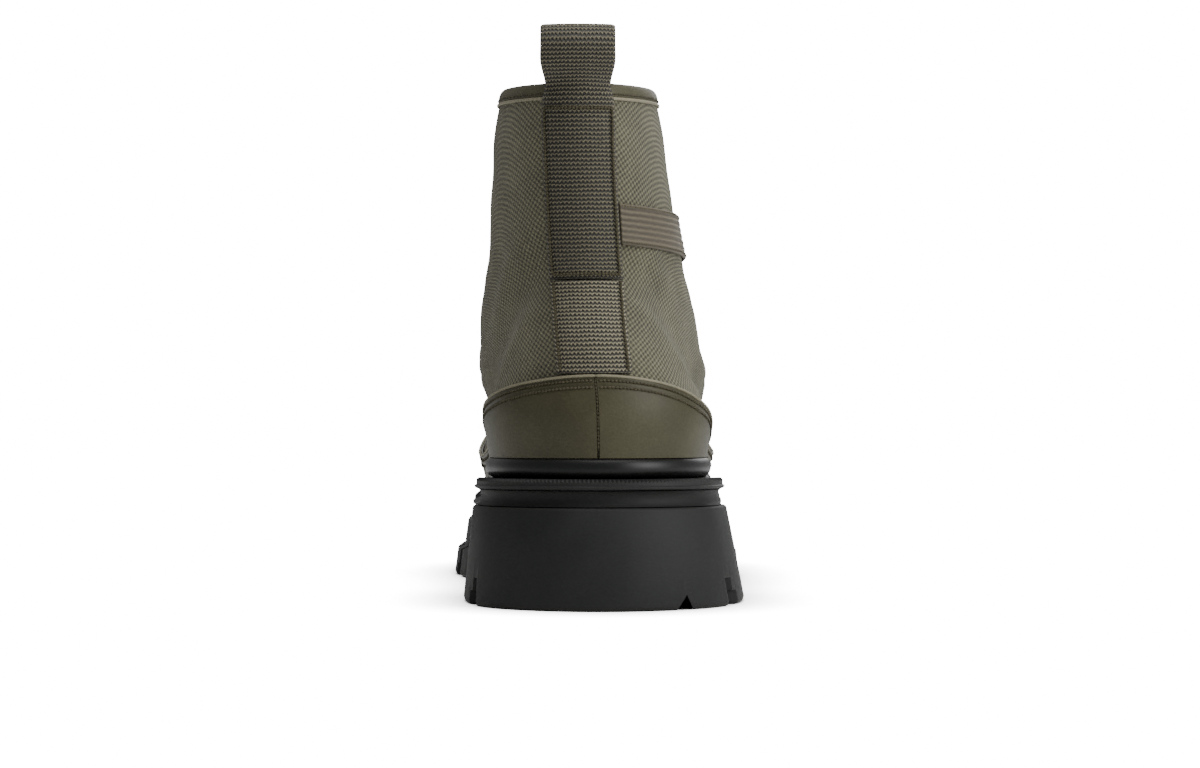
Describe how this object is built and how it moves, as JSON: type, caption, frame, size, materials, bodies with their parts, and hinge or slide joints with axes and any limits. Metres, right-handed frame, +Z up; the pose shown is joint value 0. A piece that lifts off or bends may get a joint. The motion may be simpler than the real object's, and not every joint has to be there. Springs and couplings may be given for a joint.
{
  "type": "outdoor boot",
  "caption": "Lace-up ankle boot for the right foot, canvas upper with webbing backstay and pull loop, on a chunky lugged rubber sole.",
  "frame": {"origin": "on the floor, under the middle of the sole's length and width", "axes": "+Z up; +Y from the heel to the toe; +X to the lateral side, which is the wearer's right"},
  "size_m": [0.1112, 0.3068, 0.1934],
  "materials": {
    "outsole_rubber": "matt moulded rubber, near black",
    "midsole_rubber": "matt moulded rubber, near black",
    "welt_rubber": "matt moulded rubber with a pinked edge",
    "rand_rubber": "smooth black rubber bead with a soft gloss",
    "footbed": "brushed textile footbed",
    "canvas": "coarse plain-weave canvas, olive grey",
    "foxing": "smooth coated olive leather, low sheen",
    "webbing": "ribbed olive webbing",
    "tape": "flat ribbed olive tape",
    "binding": "smooth rolled binding, olive",
    "tongue": "padded canvas, olive grey",
    "eyestay": "smooth coated olive leather, low sheen",
    "eyelet_metal": "darkened brass",
    "lace": "round braided lace, dark olive"
  },
  "bodies": {
    "root": {"outsole": "outsole_rubber", "midsole": "midsole_rubber", "welt": "welt_rubber", "rand": "rand_rubber", "insole": "footbed", "upper": "canvas", "foxing_lateral": "foxing", "foxing_medial": "foxing", "backstay": "webbing", "pull_loop": "webbing", "side_tape": "tape", "collar_binding": "binding", "tongue": "tongue", "eyestay_lateral": "eyestay", "eyestay_medial": "eyestay", "eyelet_lateral_1": "eyelet_metal", "eyelet_medial_1": "eyelet_metal", "eyelet_lateral_2": "eyelet_metal", "eyelet_medial_2": "eyelet_metal", "eyelet_lateral_3": "eyelet_metal", "eyelet_medial_3": "eyelet_metal", "eyelet_lateral_4": "eyelet_metal", "eyelet_medial_4": "eyelet_metal", "eyelet_lateral_5": "eyelet_metal", "eyelet_medial_5": "eyelet_metal", "eyelet_lateral_6": "eyelet_metal", "eyelet_medial_6": "eyelet_metal", "lace_bar": "lace", "lace_crossing_1": "lace", "lace_crossing_2": "lace", "lace_crossing_3": "lace", "lace_crossing_4": "lace", "lace_crossing_5": "lace"}
  },
  "joints": []
}
